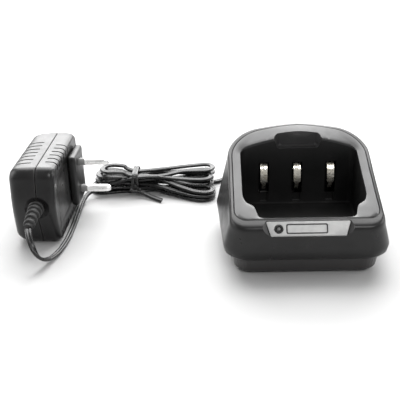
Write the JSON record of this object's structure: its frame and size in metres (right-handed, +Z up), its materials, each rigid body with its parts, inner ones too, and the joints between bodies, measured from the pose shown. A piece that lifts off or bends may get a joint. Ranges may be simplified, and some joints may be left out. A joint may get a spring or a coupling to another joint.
{
  "type": "desktop charging cradle",
  "caption": "Drop-in charging cradle for a two-way radio, with sprung pocket contacts and a belt-clip notch, joined to a plug-in mains adapter by a tied twin lead.",
  "frame": {"origin": "bottom centre of the cradle, on the surface that its rubber feet stand on", "axes": "+Z up, -Y out of the cradle's front with the silver trim, +X to the right seen from the front; the adapter lies at -X"},
  "size_m": [0.2193, 0.1362, 0.0621],
  "materials": {
    "black_abs": "satin moulded black ABS",
    "dark_plastic": "plain moulded black plastic",
    "black_rubber": "matt black elastomer",
    "bright_metal": "nickel-plated",
    "contact_metal": "plated spring bronze, pale gold",
    "brass_strip": "plain brass",
    "silver_trim": "silver painted, satin",
    "circuit_board": "green solder mask",
    "black_flex": "black PVC twin flex, slightly glossy",
    "tie_plastic": "black plastic over wire",
    "zinc_screw": "zinc-plated",
    "clear_lens": "clear moulded",
    "led_epoxy": "tinted clear",
    "wire_red": "PVC insulation",
    "wire_black": "PVC insulation",
    "wire_yellow": "PVC insulation",
    "nylon": "plain moulded",
    "chip_epoxy": "plain moulded",
    "capacitor_sleeve": "dark blue sleeve over a can",
    "ferrite": "dark sintered core with windings"
  },
  "bodies": {
    "cradle": {"upper_housing": "black_abs", "pocket_insert": "black_abs", "base_plate": "black_abs", "rubber_foot_1": "black_rubber", "rubber_foot_2": "black_rubber", "rubber_foot_3": "black_rubber", "rubber_foot_4": "black_rubber", "base_screw_1": "zinc_screw", "base_screw_2": "zinc_screw", "base_screw_3": "zinc_screw", "base_screw_4": "zinc_screw", "front_trim_plate": "silver_trim", "led_ring": "dark_plastic", "led_light_pipe": "clear_lens", "status_led": "led_epoxy", "led_wire": "wire_red", "contact_block": "nylon", "contact_wire_1": "wire_red", "contact_wire_2": "wire_black", "contact_wire_3": "wire_yellow", "charge_board": "circuit_board", "board_screw_1": "zinc_screw", "board_screw_2": "zinc_screw", "charge_control_chip": "chip_epoxy", "filter_capacitor": "capacitor_sleeve", "power_inductor": "ferrite", "charge_transistor": "chip_epoxy", "dc_jack": "dark_plastic", "jack_centre_pin": "bright_metal"},
    "contact_1": {"contact_leaf_1": "contact_metal"},
    "contact_2": {"contact_leaf_2": "contact_metal"},
    "contact_3": {"contact_leaf_3": "contact_metal"},
    "power_lead": {"cord_run_adapter": "black_flex", "cord_hank": "black_flex", "cord_run_cradle": "black_flex", "twist_tie": "tie_plastic", "dc_plug_body": "black_rubber", "dc_plug_barrel": "bright_metal", "adapter_outer_shell": "black_abs", "adapter_wall_shell": "black_abs", "plug_block": "black_abs", "mains_pin_1": "bright_metal", "mains_pin_2": "bright_metal", "pin_contact_1": "brass_strip", "pin_contact_2": "brass_strip", "adapter_board": "circuit_board", "transformer": "ferrite", "mains_capacitor": "capacitor_sleeve", "output_capacitor": "capacitor_sleeve", "bridge_rectifier": "chip_epoxy", "switching_chip": "chip_epoxy", "strain_relief": "black_rubber"}
  },
  "joints": [
    {"name": "contact_press_1", "type": "hinge", "parent": "cradle", "child": "contact_1", "pos_m": [-0.02, 0.0257, 0.0413], "axis": [1, 0, 0], "range_deg": [0, 9], "stiffness_Nm_per_rad": 0.08},
    {"name": "contact_press_2", "type": "hinge", "parent": "cradle", "child": "contact_2", "pos_m": [0, 0.0257, 0.0413], "axis": [1, 0, 0], "range_deg": [0, 9], "stiffness_Nm_per_rad": 0.08},
    {"name": "contact_press_3", "type": "hinge", "parent": "cradle", "child": "contact_3", "pos_m": [0.02, 0.0257, 0.0413], "axis": [1, 0, 0], "range_deg": [0, 9], "stiffness_Nm_per_rad": 0.08},
    {"name": "dc_plug_pull", "type": "slide", "parent": "cradle", "child": "power_lead", "axis": [0, 1, 0], "range_m": [0, 0.015]}
  ]
}
